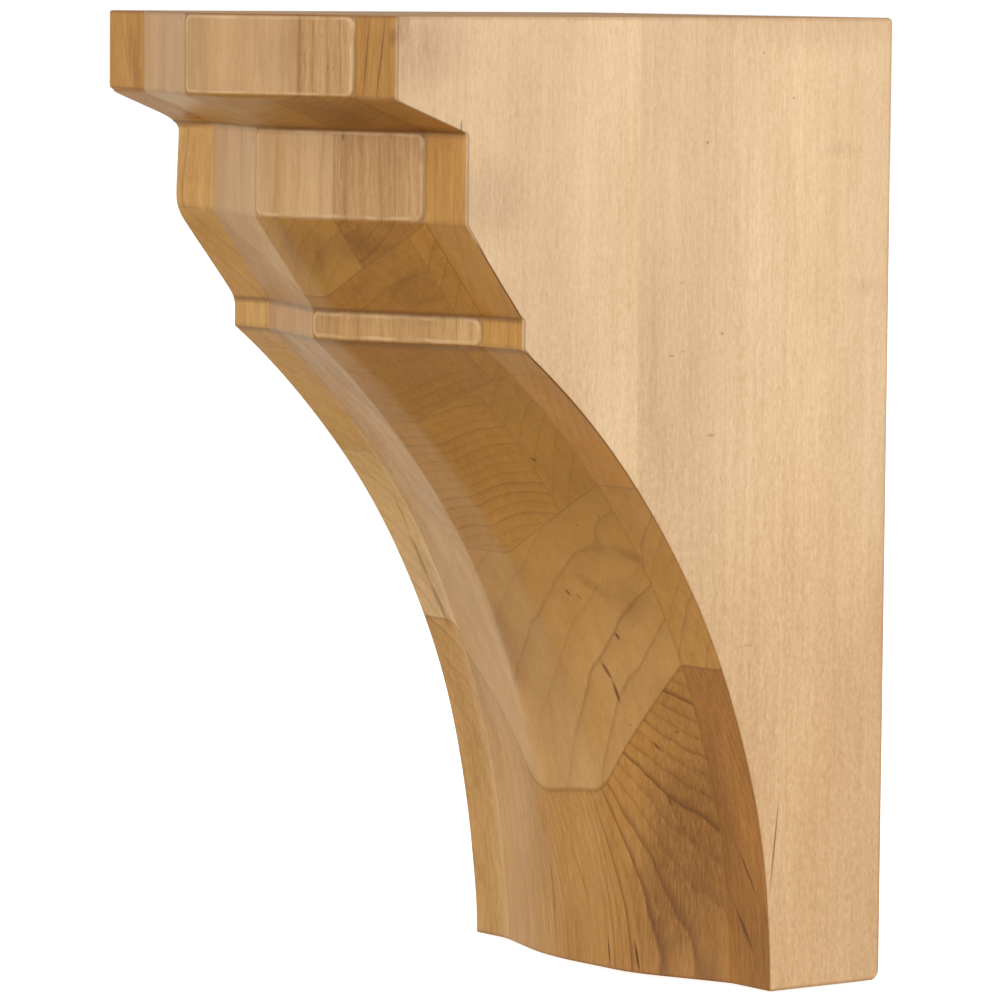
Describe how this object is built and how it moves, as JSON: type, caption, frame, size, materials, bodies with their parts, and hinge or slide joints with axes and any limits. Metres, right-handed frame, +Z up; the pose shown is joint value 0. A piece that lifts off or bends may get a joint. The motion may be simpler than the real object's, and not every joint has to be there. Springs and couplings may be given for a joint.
{
  "type": "wood corbel",
  "caption": "Maple wall corbel: a stepped, bevelled cap over a hollow swept front with a raised splayed centre, flat sides and a flat wall face.",
  "frame": {"origin": "centre of the flat wall face, halfway up the corbel and halfway across it", "axes": "+Z up, +Y into the wall, so the carved front faces -Y; +X to the right of someone who faces the carved front, which is the side that the picture shows"},
  "size_m": [0.1524, 0.2128, 0.3048],
  "materials": {
    "maple": "clear satin lacquer on hard maple glued up from boards"
  },
  "bodies": {
    "root": {"corbel": "maple"}
  },
  "joints": []
}
